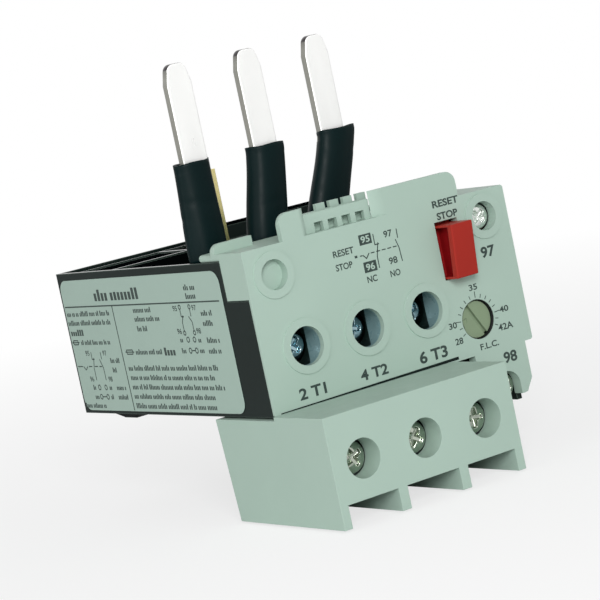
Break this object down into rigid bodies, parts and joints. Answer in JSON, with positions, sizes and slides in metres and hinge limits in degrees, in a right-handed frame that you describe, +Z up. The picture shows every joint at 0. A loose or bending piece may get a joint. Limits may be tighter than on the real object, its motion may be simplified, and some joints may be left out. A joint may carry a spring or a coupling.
{
  "type": "thermal overload relay",
  "caption": "Three-pole thermal overload relay with plug-in stabs, current dial, reset button and a stepped screw terminal block.",
  "frame": {"origin": "middle stab's centre line, at the level where the bare blade leaves its sleeve", "axes": "+X to the right seen from the front, +Y from the front cover to the back, +Z up along the stabs as installed below a contactor"},
  "size_m": [0.0667, 0.0957, 0.0929],
  "materials": {
    "front_cover": "light grey moulding",
    "rear_housing": "black moulding",
    "terminal_block": "light grey moulding",
    "rating_label": "satin printed foil",
    "link_brass": "bright strip",
    "button": "red moulding",
    "spring_steel": "bright wire",
    "dial": "cream moulding",
    "trip_plastic": "natural moulding",
    "frame_plastic": "black moulding",
    "contact_metal": "silvered contacts",
    "screw_zinc": "bright zinc plate",
    "stab_tin": "tinned copper, satin",
    "sleeve": "shrink tube",
    "cage_zinc": "zinc plate",
    "copper": "bare copper",
    "bimetal": "rolled strip",
    "heater_ribbon": "oxidised resistance ribbon"
  },
  "bodies": {
    "relay": {"front_cover": "front_cover", "rear_housing": "rear_housing", "terminal_block": "terminal_block", "rating_label": "rating_label", "link_strip": "link_brass", "reset_spring": "spring_steel", "mechanism_frame": "frame_plastic", "lever_pin": "spring_steel", "contact_leaf_95": "contact_metal", "aux_terminal_97": "contact_metal", "aux_terminal_98": "contact_metal", "line_stab_1": "stab_tin", "stab_sleeve_1": "sleeve", "bus_bar_1": "copper", "load_lug_1": "copper", "bimetal_1": "bimetal", "heater_1": "heater_ribbon", "line_stab_2": "stab_tin", "stab_sleeve_2": "sleeve", "bus_bar_2": "copper", "load_lug_2": "copper", "bimetal_2": "bimetal", "heater_2": "heater_ribbon", "line_stab_3": "stab_tin", "stab_sleeve_3": "sleeve", "bus_bar_3": "copper", "load_lug_3": "copper", "bimetal_3": "bimetal", "heater_3": "heater_ribbon"},
    "reset_button": {"reset_button": "button"},
    "current_dial": {"current_dial": "dial"},
    "trip_slide": {"trip_slide": "trip_plastic"},
    "trip_lever": {"trip_lever": "trip_plastic"},
    "contact_carriage": {"contact_carriage": "trip_plastic", "closed_bridge": "contact_metal", "open_bridge": "contact_metal"},
    "aux_screw_97": {"aux_screw_97": "screw_zinc"},
    "aux_screw_98": {"aux_screw_98": "screw_zinc"},
    "block_screw_1": {"block_screw_1": "screw_zinc"},
    "clamp_cage_1": {"clamp_cage_1": "cage_zinc"},
    "main_screw_1": {"main_screw_1": "screw_zinc"},
    "block_screw_2": {"block_screw_2": "screw_zinc"},
    "clamp_cage_2": {"clamp_cage_2": "cage_zinc"},
    "main_screw_2": {"main_screw_2": "screw_zinc"},
    "block_screw_3": {"block_screw_3": "screw_zinc"},
    "clamp_cage_3": {"clamp_cage_3": "cage_zinc"},
    "main_screw_3": {"main_screw_3": "screw_zinc"}
  },
  "joints": [
    {"name": "reset_push", "type": "slide", "parent": "relay", "child": "reset_button", "axis": [0, 1, 0], "range_m": [0, 0.003], "stiffness_N_per_m": 300, "springref_m": -0.003, "deforming": ["reset_spring"]},
    {"name": "current_setting", "type": "hinge", "parent": "relay", "child": "current_dial", "pos_m": [0.02805, -0.021, -0.0443], "axis": [0, -1, 0], "range_deg": [-202.3, 33.7]},
    {"name": "trip_travel", "type": "slide", "parent": "relay", "child": "trip_slide", "axis": [1, 0, 0], "range_m": [0, 0.0016]},
    {"name": "trip_swing", "type": "hinge", "parent": "relay", "child": "trip_lever", "pos_m": [0.02515, 0.017, -0.0315], "axis": [0, 0, 1], "range_deg": [-15.3, 0]},
    {"name": "contact_travel", "type": "slide", "parent": "relay", "child": "contact_carriage", "axis": [0, -1, 0], "range_m": [0, 0.0012]},
    {"name": "block_screw_turn_1", "type": "hinge", "parent": "relay", "child": "block_screw_1", "pos_m": [-0.01821, -0.036, -0.06077], "axis": [0, 1, 0], "range_deg": [0, 540]},
    {"name": "clamp_travel_1", "type": "slide", "parent": "relay", "child": "clamp_cage_1", "axis": [0, -1, 0], "range_m": [0, 0.0012]},
    {"name": "main_screw_turn_1", "type": "hinge", "parent": "relay", "child": "main_screw_1", "pos_m": [-0.01441, -0.0167, -0.03953], "axis": [0, 1, 0], "range_deg": [-360, 0]},
    {"name": "block_screw_turn_2", "type": "hinge", "parent": "relay", "child": "block_screw_2", "pos_m": [-0.00321, -0.036, -0.06077], "axis": [0, 1, 0], "range_deg": [0, 540]},
    {"name": "clamp_travel_2", "type": "slide", "parent": "relay", "child": "clamp_cage_2", "axis": [0, -1, 0], "range_m": [0, 0.0012]},
    {"name": "main_screw_turn_2", "type": "hinge", "parent": "relay", "child": "main_screw_2", "pos_m": [0.00059, -0.0167, -0.03953], "axis": [0, 1, 0], "range_deg": [-360, 0]},
    {"name": "block_screw_turn_3", "type": "hinge", "parent": "relay", "child": "block_screw_3", "pos_m": [0.01179, -0.036, -0.06077], "axis": [0, 1, 0], "range_deg": [0, 540]},
    {"name": "clamp_travel_3", "type": "slide", "parent": "relay", "child": "clamp_cage_3", "axis": [0, -1, 0], "range_m": [0, 0.0012]},
    {"name": "main_screw_turn_3", "type": "hinge", "parent": "relay", "child": "main_screw_3", "pos_m": [0.01559, -0.0167, -0.03953], "axis": [0, 1, 0], "range_deg": [-360, 0]},
    {"name": "aux_screw_turn_97", "type": "hinge", "parent": "relay", "child": "aux_screw_97", "pos_m": [0.03455, -0.019, -0.0239], "axis": [0, 1, 0], "range_deg": [-360, 0]},
    {"name": "aux_screw_turn_98", "type": "hinge", "parent": "relay", "child": "aux_screw_98", "pos_m": [0.03225, -0.019, -0.0595], "axis": [0, 1, 0], "range_deg": [-360, 0]}
  ],
  "couplings": [
    {"joint": "trip_swing", "follows": "trip_travel", "rad_per_m": -166.8},
    {"joint": "contact_travel", "follows": "trip_travel", "ratio": 0.7499},
    {"joint": "block_screw_turn_1", "follows": "clamp_travel_1", "rad_per_m": 7853},
    {"joint": "block_screw_turn_2", "follows": "clamp_travel_2", "rad_per_m": 7853},
    {"joint": "block_screw_turn_3", "follows": "clamp_travel_3", "rad_per_m": 7853}
  ]
}
